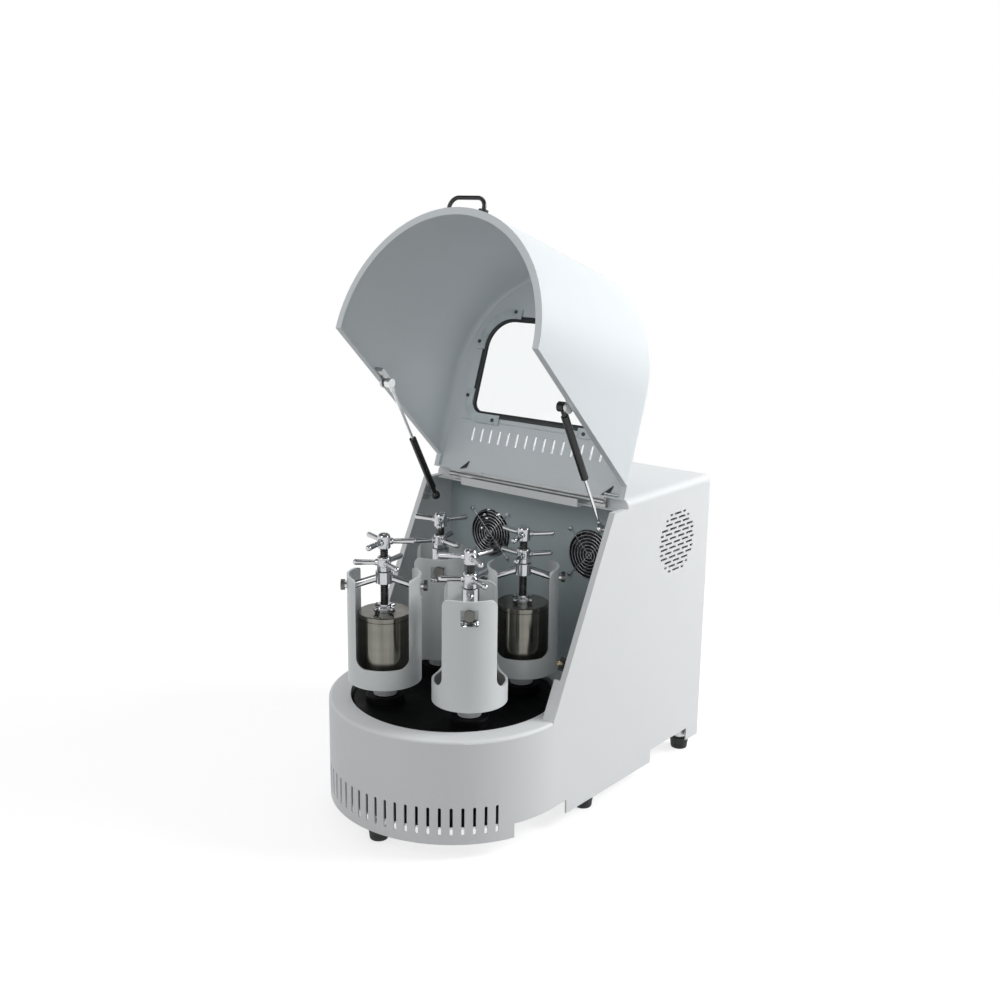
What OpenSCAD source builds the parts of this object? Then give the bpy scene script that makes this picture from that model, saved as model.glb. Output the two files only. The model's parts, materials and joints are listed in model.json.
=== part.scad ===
// Planetary ball mill with a round drum front, a tilting hood and four jar stations.
// Millimetres. The origin is under the middle of the machine, on the bench.
// X is the width, the drum is at -Y, the rear box at +Y, and Z points up.

/* [Housing] */
// Radius of the round drum front, half the width of the machine
drum_r = 235; // [230:1:245]
// Distance from the drum axis back to the rear face
rear_y = 515; // [500:1:540]
// Height of the top of the rear box above the bench
top_z = 590; // [585:1:600]
// Height of the ring on top of the drum
ring_z = 222; // [218:1:226]
// Height of the bottom edge of the skirt
skirt_z = 28; // [24:1:32]
// Sheet thickness of the housing
sheet = 3; // [2:0.5:3]
// Radius of the opening in which the turntable runs
well_r = 194.4; // [193:0.2:198]
// Number of cooling slots around the drum front
slot_count = 25; // [15:2:31]

/* [Hood] */
// Opening angle of the hood, measured from closed
open_angle = 108.6; // [0:0.1:110]
// Wall thickness of the hood
hood_wall = 4.5; // [4:0.5:5]
// Number of vent slots along the top of the hood
hood_slots = 15; // [9:2:15]

/* [Stations] */
// Number of teeth on the fixed sun gear
sun_teeth = 50; // [50]
// Number of teeth on each planet gear
planet_teeth = 25; // [25]
// Gear module
gear_module = 3.5; // [3.5]
// Direction of the first station, counted from +X
first_station = -36.8; // [-60:0.1:-20]
// Outer radius of a jar holder
holder_r = 68; // [66:0.5:69]
// Outer radius of a milling jar
jar_r = 49; // [46:0.5:50]

/* [Hidden] */
$fn = 64;
far = 1000;
run_gap = 0.05;

// The machine is drawn about the drum axis and then moved to the middle of its length
drum_y = -(rear_y - drum_r) / 2;

// Side view of the housing: a slanted front edge and a shelf under the hinge
slant_top_y = 172.6;
shelf_z = 573;
box_front_y = 217;
slant_run = slant_top_y;
slant_rise = shelf_z - ring_z;
slant_len = sqrt(slant_run * slant_run + slant_rise * slant_rise);
slant_angle = atan2(slant_rise, slant_run);
edge_r = 14;
drum_edge_r = 6;
flange_w = 9;
wide_flange_w = 22;
wide_flange_z = 288;
rear_flange_y = rear_y - 7.5;
bulkhead_y = 256;
plate_z = 56;
plate_t = 4;

// Hood
hinge = [204.5, 581.8];
hood_gap = 4;
hood_rim_z = ring_z + hood_gap;
hood_back_y = 196;
hood_edge_r = 20;
rim_w = 13;
rim_t = 3;
pin_r = 2.5;
knuckle_r = 4.5;
knuckles = 10;
hinge_half = 190;
window = [168, -118, 70];
window_front_r = 56;
window_rear_r = 20;
pane_t = 4;
gasket_t = 3;
gasket_out = 11;

// Gas struts, in the plane x = strut_x on both sides
strut_x = 204;
body_stud = [175, 538];
hood_stud_closed = [67, 365.5];
magnet_z = 343.7;
cylinder_r = 7;
rod_r = 3;
cylinder_len = 124;
right_cylinder_len = 138;
socket_r = 9;

// Drive
station_r = gear_module * (sun_teeth + planet_teeth) / 2;
gear_t = 18;
gear_z = 157;
disc_r = 190;
disc_z = 199;
disc_t = 16;
boss_top_z = 228;
spindle_r = 12;
shaft_r = 20;
frame_z = 104;
frame_t = 8;
pulley_z = 68;
pulley_t = 26;
driven_r = 80;
drive_r = 40;
motor_y = 370;
belt_t = 5;

// Jar station, heights above the bench
hub_z = 229;
holder_z = 258;
holder_top_z = 460;
holder_wall = 4.5;
holder_floor = 5;
holder_cut_z = 295;
holder_cut_r = 18;
upright_half = 48;
upright_corner_r = 15;
holder_twist = -14;
slit_z = [415, 445];
slit_half = 15;
jar_wall = 6;
seam_z = 381;
neck_h = 2.5;
lid_top_z = 389;
foot_gap = 0.3;
bridge_z = [443, 465];
nut_z = [465.3, 493];
screw_r = 7.5;
screw_tip_z = 396;
knob_z = [508, 537];
spoke_r = 5.5;

// Fans and controls
fan_x = 125;
fan_z = 456;
fan_size = 110;
fan_depth = 25;
fan_bore_r = 50;
fan_hole = fan_size / 2 - 9;
vent_y = 396;
vent_z = 475.5;
vent_r = 64;
control_y = 300;
keypad_z = 330;
rocker_z = 235;
stop_z = 185;
switch_z = 315;
plunger_x = drum_r - 18.5;
plunger_r = 4.5;
plunger_out = 16;

white = [0.9, 0.91, 0.92];
shade = [0.66, 0.7, 0.72];
steel = [0.72, 0.73, 0.75];
dark = [0.1, 0.1, 0.11];

module at_drum() translate([0, drum_y, 0]) children();
module both_sides() {
    children();
    mirror([1, 0, 0]) children();
}
// Draws a (y, z) outline as a slab from x0 to x1
module slab_x(x0, x1) translate([x0, 0, 0]) rotate([90, 0, 90]) linear_extrude(x1 - x0) children();
// Draws an (x, z) outline as a slab from y0 to y1
module slab_y(y0, y1) translate([0, y1, 0]) rotate([90, 0, 0]) linear_extrude(y1 - y0) children();
module rod_x(x0, x1, r) translate([x0, 0, 0]) rotate([0, 90, 0]) cylinder(h = x1 - x0, r = r);
module rod_y(y0, y1, r) translate([0, y0, 0]) rotate([-90, 0, 0]) cylinder(h = y1 - y0, r = r);
module block(x, y, z) translate([x[0], y[0], z[0]]) cube([x[1] - x[0], y[1] - y[0], z[1] - z[0]]);
module hood_open()
    translate([0, hinge[0], hinge[1]]) rotate([-open_angle, 0, 0]) translate([0, -hinge[0], -hinge[1]])
        children();

// Cross-section of the rear box with rounded upper edges
module box_section(inset) {
    half = drum_r - edge_r;
    straight = top_z - edge_r - skirt_z;
    translate([-drum_r + inset, skirt_z - inset]) square([2 * (drum_r - inset), straight + inset]);
    translate([-half, skirt_z]) square([2 * half, top_z - inset - skirt_z]);
    for (x = [-half, half]) translate([x, top_z - edge_r]) circle(r = edge_r - inset);
}

module housing_side()
    polygon([
        [0, skirt_z], [rear_y, skirt_z], [rear_y, top_z], [box_front_y, top_z],
        [box_front_y, shelf_z], [slant_top_y, shelf_z], [0, ring_z]
    ]);

// Side view of the hollow, which leaves one sheet thickness standing behind the slanted edge and the shelf
module hollow_side() {
    dy = sheet * slant_len / slant_rise;
    shelf_under = shelf_z - sheet;
    polygon([
        [-far, -far], [rear_flange_y, -far], [rear_flange_y, far], [box_front_y + sheet, far],
        [box_front_y + sheet, shelf_under], [(shelf_under - ring_z) * slant_run / slant_rise + dy, shelf_under],
        [dy, ring_z], [-far, ring_z]
    ]);
}

module drum_front() {
    rotate([0, 0, 180]) rotate_extrude(angle = 180, $fn = 128) {
        translate([drum_r - sheet, skirt_z]) square([sheet, ring_z - drum_edge_r - skirt_z]);
        translate([well_r, ring_z - sheet]) square([drum_r - drum_edge_r - well_r, sheet]);
        intersection() {
            translate([drum_r - drum_edge_r, ring_z - drum_edge_r]) difference() {
                circle(r = drum_edge_r);
                circle(r = drum_edge_r - sheet);
            }
            translate([drum_r - drum_edge_r, ring_z - drum_edge_r]) square(drum_edge_r);
        }
    }
    rotate_extrude($fn = 128) translate([well_r, ring_z - 15]) square([sheet, 15]);
}

module deck()
    translate([0, 0, ring_z - sheet]) linear_extrude(sheet) difference() {
        translate([-drum_r + sheet / 2, 0]) square([2 * drum_r - sheet, bulkhead_y]);
        circle(r = well_r, $fn = 128);
    }

// Half round front, box behind it, and the flanges that a hollow with smaller openings leaves standing
module rear_box() {
    inner = drum_r - sheet;
    rear_margin = 18;
    rear_open = drum_r - rear_margin;
    difference() {
        intersection() {
            slab_y(0, rear_y) box_section(0);
            slab_x(-drum_r, drum_r) housing_side();
        }
        intersection() {
            slab_y(-1, rear_flange_y) box_section(sheet);
            slab_x(-drum_r, drum_r) hollow_side();
        }
        block([-inner + flange_w, inner - flange_w], [-1, box_front_y], [wide_flange_z, far]);
        block([-inner + wide_flange_w, inner - wide_flange_w], [-1, box_front_y], [ring_z, far]);
        block([-rear_open, rear_open], [rear_y - 20, rear_y + 1], [-1, top_z - rear_margin]);
        slab_y(rear_flange_y + sheet, rear_y + 1) box_section(sheet);
    }
}

module drum_slots() {
    pitch = 5;
    slot_w = 5.5;
    slot_z = [48, 95];
    for (i = [0:slot_count - 1])
        rotate([0, 0, -90 + (i - (slot_count - 1) / 2) * pitch]) {
            block([drum_r - 10, drum_r + 5], [-slot_w / 2, slot_w / 2], slot_z);
            for (z = slot_z) translate([0, 0, z]) rod_x(drum_r - 10, drum_r + 5, slot_w / 2, $fn = 24);
        }
}

// Rows of short slots, laid like bricks inside a circle
module side_vents() {
    rows = 13;
    row_pitch = 9.5;
    slot_h = 4.6;
    slot_l = 24;
    brick = 31;
    for (row = [0:rows - 1], col = [-2:2]) {
        z = (row - (rows - 1) / 2) * row_pitch;
        half = sqrt(vent_r * vent_r - z * z);
        y = (col + (row % 2) / 2) * brick;
        low = max(y - slot_l / 2, -half);
        high = min(y + slot_l / 2, half);
        if (high - low > slot_h)
            translate([0, vent_y, vent_z + z]) block([-far, far], [low, high], [-slot_h / 2, slot_h / 2]);
    }
}

// Finger notches along the lower edge
module lift_notches() {
    top = skirt_z + 27;
    arc_y = -87;
    block([-far, far], [arc_y, 45], [0, top]);
    block([-far, far], [330, 469], [0, top]);
}

module control_cutouts() {
    wall = [-drum_r - 5, -drum_r + 5];
    block(wall, [control_y - 34, control_y + 34], [keypad_z - 53, keypad_z + 53]);
    block(wall, [control_y - 9, control_y + 9], [rocker_z - 13.5, rocker_z + 13.5]);
    translate([0, control_y, stop_z]) rod_x(wall[0], wall[1], 11.5);
}

// Lines up children with the slanted edge, at a height on it, z pointing out of the edge
module on_slant(x, z) {
    translate([x, (z - ring_z) * slant_run / slant_rise, z]) rotate([slant_angle, 0, 0]) children();
}

module housing()
    color(white) difference() {
        union() {
            drum_front();
            deck();
            rear_box();
        }
        drum_slots();
        side_vents();
        lift_notches();
        control_cutouts();
    }

module bulkhead() {
    inner = drum_r - sheet;
    tray_half = inner - flange_w;
    tray_z = [shelf_z - 5, shelf_z - 3];
    lip_half = 143;
    tray_y = 183;
    color(shade) difference() {
        union() {
            block([-inner, inner], [bulkhead_y, bulkhead_y + 2], [ring_z, shelf_z]);
            block([-tray_half, tray_half], [box_front_y - 14, bulkhead_y + 2], tray_z);
            block([-lip_half, lip_half], [tray_y, bulkhead_y + 2], tray_z);
            block([-lip_half, lip_half], [tray_y, tray_y + 2], [tray_z[0], shelf_z + 10]);
        }
        both_sides() translate([fan_x, 0, fan_z]) {
            rod_y(bulkhead_y - 5, bulkhead_y + 5, fan_bore_r);
            for (sx = [-1, 1], sz = [-1, 1]) translate([sx * fan_hole, 0, sz * fan_hole])
                rod_y(bulkhead_y - 5, bulkhead_y + 5, 2);
        }
    }
}

foot_spots = [[0, -205], [-208, 137], [208, 137], [-208, 488], [208, 488]];

module base_plate()
    color(steel) {
        inner = drum_r - sheet;
        translate([0, 0, plate_z]) linear_extrude(plate_t) {
            circle(r = inner, $fn = 128);
            translate([-inner, 0]) square([2 * inner, rear_y - 8]);
        }
        for (p = foot_spots) translate([p[0], p[1], 26]) cylinder(h = plate_z - 26, r = 15);
    }

module feet()
    color(dark) for (p = foot_spots) translate([p[0], p[1], 0]) cylinder(h = 26, r1 = 17, r2 = 20);

cover_y = rear_y - 4.5;
module rear_cover() {
    half_w = drum_r - sheet - 2;
    inlet = [120, 110];
    color(white) difference() {
        block([-half_w, half_w], [cover_y, cover_y + 2], [skirt_z + 34, top_z - 20]);
        for (i = [-9:9], z = [150, 480])
            block([i * 14 - 2.5, i * 14 + 2.5], [cover_y - 5, cover_y + 5], [z, z + 46]);
        block([inlet[0] - 24, inlet[0] + 24], [cover_y - 5, cover_y + 5], [inlet[1] - 14, inlet[1] + 14]);
    }
    color(dark) translate([inlet[0], 0, inlet[1]]) difference() {
        union() {
            block([-24, 24], [cover_y - 24, cover_y + 2.2], [-14, 14]);
            block([-30, 30], [cover_y + 2, cover_y + 4.5], [-16, 16]);
        }
        block([-12.5, 12.5], [cover_y - 14, cover_y + 6], [-8.5, 8.5]);
    }
}

cover_screws = [for (x = [-222, 222], z = [80, 210, 345, 480]) [x, z]];
module body_screws()
    color(steel) {
        for (p = cover_screws) translate([p[0], 0, p[1]]) rod_y(cover_y + 2, rear_y, 3.8, $fn = 24);
        both_sides() for (sx = [-1, 1], sz = [-1, 1])
            translate([fan_x + sx * fan_hole, 0, fan_z + sz * fan_hole]) {
                rod_y(bulkhead_y - 7, bulkhead_y - 4, 3.8, $fn = 24);
                rod_y(bulkhead_y - 5, bulkhead_y + 2, 2, $fn = 24);
            }
    }

// Knuckles of the long hinge: one leaf has the even ones and the other leaf the odd ones
module knuckle_row(first, r, grow) {
    pitch = 2 * hinge_half / knuckles;
    gap = 0.4;
    for (i = [first:2:knuckles - 1])
        translate([-hinge_half + i * pitch, hinge[0], hinge[1]])
            rod_x((gap - grow) / 2, pitch - (gap - grow) / 2, r);
}

module body_brackets() {
    wall_x = drum_r - sheet;
    color(steel) {
        difference() {
            block([-hinge_half, hinge_half], [hinge[0] + 2, hinge[0] + 4], [shelf_z - 3, hinge[1]]);
            knuckle_row(1, knuckle_r + 0.5, 0.8);
        }
        knuckle_row(0, knuckle_r, 0);
        translate([0, hinge[0], hinge[1]]) rod_x(-hinge_half, hinge_half, pin_r);
        both_sides() translate([0, body_stud[0], body_stud[1]]) {
            rod_x(wall_x - 4, wall_x, 13);
            rod_x(strut_x, wall_x, 3.5);
            translate([strut_x, 0, 0]) sphere(r = 6);
        }
    }
}

module fan_frame()
    translate([0, bulkhead_y + 2, 0]) {
        half = fan_size / 2;
        difference() {
            block([-half, half], [0, fan_depth], [-half, half]);
            rod_y(-1, fan_depth + 1, fan_bore_r);
            for (sx = [-1, 1], sz = [-1, 1]) translate([sx * fan_hole, 0, sz * fan_hole])
                rod_y(-1, fan_depth + 1, 2);
        }
        difference() {
            union() {
                rod_y(fan_depth - 6, fan_depth, 20);
                for (a = [45:90:315]) rotate([0, a, 0])
                    block([18, fan_bore_r + 1], [fan_depth - 4, fan_depth], [-2.5, 2.5]);
            }
            rod_y(fan_depth - 7, fan_depth + 1, 3 + run_gap);
        }
    }

// Wire finger guard: rings welded to four crossing wires that end in screw eyes
module fan_guard() {
    wire_r = 0.9;
    rings = 7;
    reach = fan_hole * sqrt(2) - 4;
    wire_y = bulkhead_y - 2.4;
    for (i = [1:rings])
        rotate([-90, 0, 0]) translate([0, 0, wire_y - 1.4])
            rotate_extrude($fn = 48) translate([i * 6.7, 0]) circle(r = wire_r, $fn = 16);
    for (a = [45, 135]) rotate([0, a, 0]) translate([0, wire_y, 0]) rod_x(-reach, reach, wire_r, $fn = 16);
    for (sx = [-1, 1], sz = [-1, 1]) translate([sx * fan_hole, 0, sz * fan_hole]) difference() {
        rod_y(bulkhead_y - 4, bulkhead_y, 4.6, $fn = 24);
        rod_y(bulkhead_y - 5, bulkhead_y + 1, 2, $fn = 24);
    }
}

module fan_frames()
    color(dark) both_sides() translate([fan_x, 0, fan_z]) {
        fan_frame();
        fan_guard();
    }

module fan_rotor() {
    y0 = bulkhead_y + 6;
    rod_y(y0, y0 + 14, 19);
    rod_y(y0, y0 + 20, 3);
    for (a = [0:360 / 7:359]) rotate([0, a, 0]) translate([0, y0 + 7, 0]) rotate([38, 0, 0])
        block([17, fan_bore_r - 4], [-1, 1], [-9, 9]);
}
module fan_rotor_left() color(dark) translate([-fan_x, 0, fan_z]) fan_rotor();
module fan_rotor_right() color(dark) translate([fan_x, 0, fan_z]) fan_rotor();

module drive_frame() {
    leg_spots = [for (x = [-95, 95], y = [-95, 170, 425]) [x, y]];
    color(shade) difference() {
        union() {
            block([-110, 110], [-110, 440], [frame_z, frame_z + frame_t]);
            for (p = leg_spots) translate([p[0], p[1], 0])
                block([-15, 15], [-15, 15], [plate_z + plate_t, frame_z]);
            translate([0, 0, frame_z - 6]) cylinder(h = 14, r = 62);
            translate([0, 0, frame_z + frame_t]) cylinder(h = 10, r = 78);
            translate([0, 0, frame_z + frame_t]) cylinder(h = gear_z - frame_z - frame_t, r = 52);
            for (a = [30:60:330]) rotate([0, 0, a])
                block([45, 72], [-4, 4], [frame_z + frame_t, gear_z - 12]);
        }
        translate([0, 0, frame_z - 10]) cylinder(h = 100, r = shaft_r + run_gap);
        translate([0, motor_y, frame_z - 10]) cylinder(h = 30, r = 30);
    }
}

function inv(a) = tan(a) * 180 / PI - a;
// Half angle of a tooth at radius r, with a little backlash taken off
function tooth_half(teeth, r) =
    let (pitch_r = gear_module * teeth / 2, base_r = pitch_r * cos(20), backlash = 0.18)
    90 / teeth - backlash / pitch_r * 180 / PI + inv(20) - inv(acos(min(1, base_r / max(r, base_r))));
function gear_points(teeth) =
    let (radii = [for (m = [-1.25, -0.5, 0.3, 1]) gear_module * (teeth / 2 + m)])
    [for (i = [0:teeth - 1], k = [0:7])
        let (r = radii[k < 4 ? k : 7 - k])
        let (a = i * 360 / teeth + (k < 4 ? -1 : 1) * tooth_half(teeth, r))
        [r * cos(a), r * sin(a)]];

module gear(teeth, z0, t) translate([0, 0, z0]) linear_extrude(t) polygon(gear_points(teeth));

module sun_gear()
    color(steel) difference() {
        gear(sun_teeth, gear_z, gear_t);
        translate([0, 0, gear_z - 1]) cylinder(h = gear_t + 2, r = 32);
        for (a = [0:60:300]) rotate([0, 0, a]) translate([44, 0, gear_z - 1]) cylinder(h = gear_t + 2, r = 4.5);
    }

module motor()
    color(shade) translate([0, motor_y, frame_z + frame_t]) {
        difference() {
            union() {
                cylinder(h = 12, r = 80);
                translate([0, 0, 12]) cylinder(h = 176, r = 62);
                for (a = [0:15:345]) rotate([0, 0, a]) block([58, 69], [-1.5, 1.5], [20, 176]);
                translate([0, 0, 188]) cylinder(h = 34, r = 66);
                block([-112, -60], [-38, 38], [70, 140]);
            }
            translate([0, 0, -1]) cylinder(h = 21, r = spindle_r + run_gap);
        }
    }

// Outline round two pulleys, made of two discs and the quadrilateral between their tangent points
module belt_outline(grow) {
    a = asin((driven_r - drive_r) / motor_y);
    r1 = driven_r + grow;
    r2 = drive_r + grow;
    circle(r = r1, $fn = 128);
    translate([0, motor_y]) circle(r = r2);
    polygon([
        [r1 * cos(a), r1 * sin(a)], [r2 * cos(a), motor_y + r2 * sin(a)],
        [-r2 * cos(a), motor_y + r2 * sin(a)], [-r1 * cos(a), r1 * sin(a)]
    ]);
}

module drive_belt()
    color(dark) translate([0, 0, pulley_z + 4]) linear_extrude(pulley_t - 8) difference() {
        belt_outline(foot_gap + belt_t);
        belt_outline(foot_gap);
    }

module pulley(r)
    difference() {
        union() {
            translate([0, 0, pulley_z]) cylinder(h = pulley_t, r = r, $fn = 128);
            for (z = [pulley_z, pulley_z + pulley_t - 3])
                translate([0, 0, z]) cylinder(h = 3, r = r + belt_t, $fn = 128);
        }
        if (r > 60) for (a = [0:60:300]) rotate([0, 0, a])
            translate([50, 0, pulley_z - 1]) cylinder(h = pulley_t + 2, r = 14);
    }

module main_shaft()
    color(steel) {
        translate([0, 0, pulley_z - 4]) cylinder(h = disc_z + disc_t - pulley_z + 4, r = shaft_r);
        pulley(driven_r);
        translate([0, 0, disc_z + disc_t]) cylinder(h = 3, r = 30);
        translate([0, 0, disc_z + disc_t + 3]) cylinder(h = 13, r = 24, $fn = 6);
        translate([0, 0, disc_z + disc_t + 3]) cylinder(h = 18, r = 14);
    }

module motor_pulley()
    color(steel) translate([0, motor_y, 0]) {
        pulley(drive_r);
        translate([0, 0, pulley_z - 2]) cylinder(h = frame_z + frame_t + 18 - pulley_z + 2, r = spindle_r);
    }

module turntable()
    color(dark) difference() {
        union() {
            translate([0, 0, disc_z]) cylinder(h = disc_t - 2, r = disc_r, $fn = 128);
            translate([0, 0, disc_z + disc_t - 2]) cylinder(h = 2, r1 = disc_r, r2 = disc_r - 2, $fn = 128);
            translate([0, 0, gear_z + gear_t + 4]) cylinder(h = disc_z - gear_z - gear_t - 4, r = 36);
            for (k = [0:3]) rotate([0, 0, first_station + 90 * k]) translate([station_r, 0, 0]) {
                translate([0, 0, gear_z + gear_t + 6]) cylinder(h = disc_z - gear_z - gear_t - 6, r = 28);
                translate([0, 0, disc_z]) cylinder(h = boss_top_z - disc_z - 2, r = 36);
                translate([0, 0, boss_top_z - 2]) cylinder(h = 2, r1 = 36, r2 = 34);
            }
        }
        translate([0, 0, 100]) cylinder(h = 200, r = shaft_r);
        for (k = [0:3]) rotate([0, 0, first_station + 90 * k]) translate([station_r, 0, 100])
            cylinder(h = 200, r = spindle_r + run_gap);
    }

// Puts children at station k, x pointing away from the drum axis
module at_station(k) rotate([0, 0, first_station + 90 * k]) translate([station_r, 0, 0]) children();

module holder_wall_shape()
    intersection() {
        translate([0, 0, holder_z]) difference() {
            cylinder(h = holder_top_z - holder_z, r = holder_r, $fn = 96);
            translate([0, 0, holder_floor]) cylinder(h = holder_top_z, r = holder_r - holder_wall, $fn = 96);
        }
        slab_x(-far, far) {
            translate([-holder_r - 1, 0]) square([2 * holder_r + 2, holder_cut_z + holder_cut_r]);
            translate([-upright_half, 0]) square([2 * upright_half, holder_top_z - upright_corner_r]);
            translate([-upright_half + upright_corner_r, 0])
                square([2 * (upright_half - upright_corner_r), holder_top_z]);
            for (s = [-1, 1])
                translate([s * (upright_half - upright_corner_r), holder_top_z - upright_corner_r])
                    circle(r = upright_corner_r);
        }
    }

module holder_cut()
    slab_y(-far, far) {
        translate([-upright_half, holder_cut_z + holder_cut_r]) square([2 * upright_half, 300]);
        translate([-upright_half + holder_cut_r, holder_cut_z])
            square([2 * (upright_half - holder_cut_r), 300]);
        for (s = [-1, 1]) translate([s * (upright_half - holder_cut_r), holder_cut_z + holder_cut_r])
            circle(r = holder_cut_r);
    }

// Angle of the planet gear that puts it in mesh with a sun tooth lying on +X
function mesh_angle(k) =
    let (a = first_station + 90 * k)
    a * (1 + sun_teeth / planet_teeth) + 180 - 180 / planet_teeth - a;

module jar_holder(k)
    at_station(k) {
        color(white) rotate([0, 0, holder_twist]) difference() {
            union() {
                holder_wall_shape();
                translate([0, 0, hub_z]) cylinder(h = holder_z - hub_z + 1, r = 22);
            }
            holder_cut();
            block([-far, far], [-slit_half, slit_half], slit_z);
        }
        color(steel) {
            translate([0, 0, gear_z - 3]) cylinder(h = hub_z - gear_z + 3, r = spindle_r);
            rotate([0, 0, mesh_angle(k)]) gear(planet_teeth, gear_z, gear_t);
        }
    }

jar_floor_z = holder_z + holder_floor;
module jar(k)
    at_station(k) color(steel) difference() {
        union() {
            translate([0, 0, jar_floor_z]) cylinder(h = 2, r1 = jar_r - 2, r2 = jar_r);
            translate([0, 0, jar_floor_z + 2]) cylinder(h = seam_z - neck_h - jar_floor_z - 2, r = jar_r);
            translate([0, 0, jar_floor_z + 2]) cylinder(h = seam_z - jar_floor_z - 2, r = jar_r - 1.5);
        }
        translate([0, 0, jar_floor_z + 9]) cylinder(h = 200, r = jar_r - jar_wall);
    }

module jar_lid(k)
    at_station(k) color(steel) {
        translate([0, 0, seam_z - 6]) cylinder(h = 6, r = jar_r - jar_wall - 0.2);
        translate([0, 0, seam_z]) cylinder(h = lid_top_z - seam_z - 1.5, r = jar_r + 0.5);
        translate([0, 0, lid_top_z - 1.5]) cylinder(h = 1.5, r1 = jar_r + 0.5, r2 = jar_r - 1);
    }

// Round boss with two round arms that slope down to the windows and end in a headed pin outside them
module clamp_bridge(k) {
    arm_r = 7;
    elbow_r = 55;
    elbow_z = slit_z[1] - arm_r;
    root_z = bridge_z[1] - arm_r - 2;
    head_r = 10;
    pin_end = [72, 79];
    color(steel) at_station(k) rotate([0, 0, holder_twist]) difference() {
        union() {
            translate([0, 0, bridge_z[0]]) cylinder(h = bridge_z[1] - bridge_z[0], r = 16);
            for (a = [0, 180]) rotate([0, 0, a]) {
                translate([0, 0, root_z]) rotate([0, atan2(root_z - elbow_z, elbow_r), 0])
                    rod_x(10, norm([elbow_r, root_z - elbow_z]), arm_r, $fn = 48);
                translate([elbow_r, 0, elbow_z]) sphere(r = arm_r, $fn = 48);
                translate([0, 0, elbow_z]) rod_x(elbow_r, pin_end[1], arm_r, $fn = 48);
                translate([0, 0, elbow_z]) rod_x(pin_end[0], pin_end[1], head_r, $fn = 48);
            }
        }
        translate([0, 0, bridge_z[0] - 20]) cylinder(h = 60, r = screw_r + run_gap);
    }
}

// Hub on the lid with four short round arms, the screw turns in its socket
module pressure_foot(k) {
    base = lid_top_z + foot_gap;
    arm_r = 4.2;
    arm_end = 21;
    color(steel) at_station(k) difference() {
        union() {
            translate([0, 0, base]) cylinder(h = 5, r = 18);
            translate([0, 0, base]) cylinder(h = 14, r = 12.5);
            for (a = [45:90:315]) translate([0, 0, base + 6.5]) rotate([0, 0, holder_twist + a]) {
                rod_x(8, arm_end, arm_r, $fn = 24);
                translate([arm_end, 0, 0]) sphere(r = arm_r, $fn = 24);
            }
        }
        translate([0, 0, screw_tip_z - foot_gap]) cylinder(h = 20, r = screw_r + run_gap);
    }
}

// Three round spokes with rounded ends, a is the direction of the first
module spokes(z, a, reach)
    for (b = [0:120:240]) translate([0, 0, z]) rotate([0, 0, a + b]) {
        rod_x(6, reach - spoke_r, spoke_r, $fn = 24);
        translate([reach - spoke_r, 0, 0]) sphere(r = spoke_r, $fn = 24);
    }

screw_spoke_angles = [209, 49, 69, 44];
nut_spoke_angles = [99, 54, 109, 99];
module clamp_screw(k)
    color(steel) translate(station_place(k)) {
        translate([0, 0, screw_tip_z]) cylinder(h = knob_z[0] - screw_tip_z + 5, r = screw_r);
        translate([0, 0, knob_z[0]]) cylinder(h = knob_z[1] - knob_z[0] - 3, r = 12);
        translate([0, 0, knob_z[1] - 3]) cylinder(h = 3, r1 = 12, r2 = 9);
        spokes(521, screw_spoke_angles[k], 59);
    }

module lock_nut(k)
    color(steel) translate(station_place(k)) difference() {
        union() {
            translate([0, 0, nut_z[0]]) cylinder(h = nut_z[1] - nut_z[0] - 2, r = 13);
            translate([0, 0, nut_z[1] - 2]) cylinder(h = 2, r1 = 13, r2 = 11);
            difference() {
                spokes(481, nut_spoke_angles[k], 57);
                translate([0, 0, nut_z[0]]) cylinder(h = 40, r = 8);
            }
        }
        translate([0, 0, nut_z[0] - 1]) cylinder(h = 60, r = screw_r + run_gap);
    }
function station_place(k) =
    let (a = first_station + 90 * k)
    [station_r * cos(a), station_r * sin(a), 0];

// Plan of the window with its larger front corners
module window_plan(grow) {
    half = window[0] + grow;
    front = window[1] - grow;
    rear = window[2] + grow;
    fr = window_front_r + grow;
    rr = window_rear_r + grow;
    translate([-half, front + fr]) square([2 * half, rear - rr - front - fr]);
    translate([-half + fr, front]) square([2 * (half - fr), rear - front - rr]);
    translate([-half + rr, front + fr]) square([2 * (half - rr), rear - front - fr]);
    for (s = [-1, 1]) {
        translate([s * (half - fr), front + fr]) circle(r = fr);
        translate([s * (half - rr), rear - rr]) circle(r = rr);
    }
}

module hood_profile(inset)
    for (s = [0, 1]) {
        translate([0, s * hood_rim_z]) square([drum_r - inset, top_z - hood_edge_r - s * hood_rim_z]);
        translate([0, s * hood_rim_z]) square([drum_r - hood_edge_r, top_z - inset - s * hood_rim_z]);
        translate([drum_r - hood_edge_r, top_z - hood_edge_r]) circle(r = hood_edge_r - inset);
    }

// Solid of the closed hood: a half round front and a straight rear
module hood_block(inset) {
    rotate([0, 0, 180]) rotate_extrude(angle = 180, $fn = 128) intersection() {
        hood_profile(inset);
        square([far, far]);
    }
    both_sides() slab_y(-0.01, hood_back_y + 40) intersection() {
        hood_profile(inset);
        square([far, far]);
    }
}

// Side view of the closed hood, kept clear of the slanted edge and the shelf
hood_low_y = (hood_rim_z - ring_z) * slant_run / slant_rise - hood_gap * slant_len / slant_rise;
hood_corner_y = slant_top_y + hood_gap * slant_run / slant_rise - hood_gap * slant_len / slant_rise;
module hood_side()
    polygon([
        [-far, hood_rim_z], [hood_low_y, hood_rim_z], [hood_corner_y, shelf_z + hood_gap],
        [hood_back_y, shelf_z + hood_gap], [hood_back_y, far], [-far, far]
    ]);

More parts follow.
